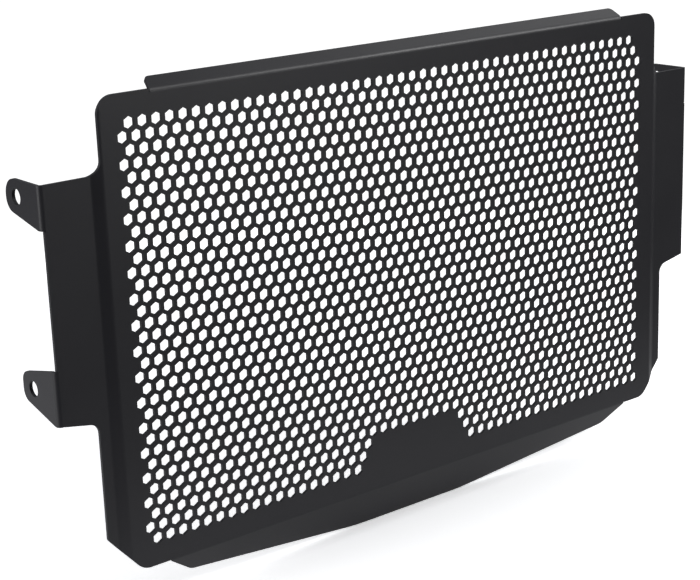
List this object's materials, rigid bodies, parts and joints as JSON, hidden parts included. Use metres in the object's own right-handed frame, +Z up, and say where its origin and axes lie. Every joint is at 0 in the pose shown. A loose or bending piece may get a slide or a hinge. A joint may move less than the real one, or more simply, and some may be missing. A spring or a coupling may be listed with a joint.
{
  "type": "motorcycle radiator guard",
  "caption": "Folded sheet-metal guard for a motorcycle radiator, with a hexagonal grille, side wings with bolt ears, and flanges bent back at the top and bottom.",
  "frame": {"origin": "centre of the guard's overall box", "axes": "+X across the guard to the viewer's right, +Y from the front face back to the radiator, +Z up"},
  "size_m": [0.3804, 0.0298, 0.229],
  "materials": {
    "powder_coat": "satin black powder coat"
  },
  "bodies": {
    "root": {"guard_sheet": "powder_coat"}
  },
  "joints": []
}
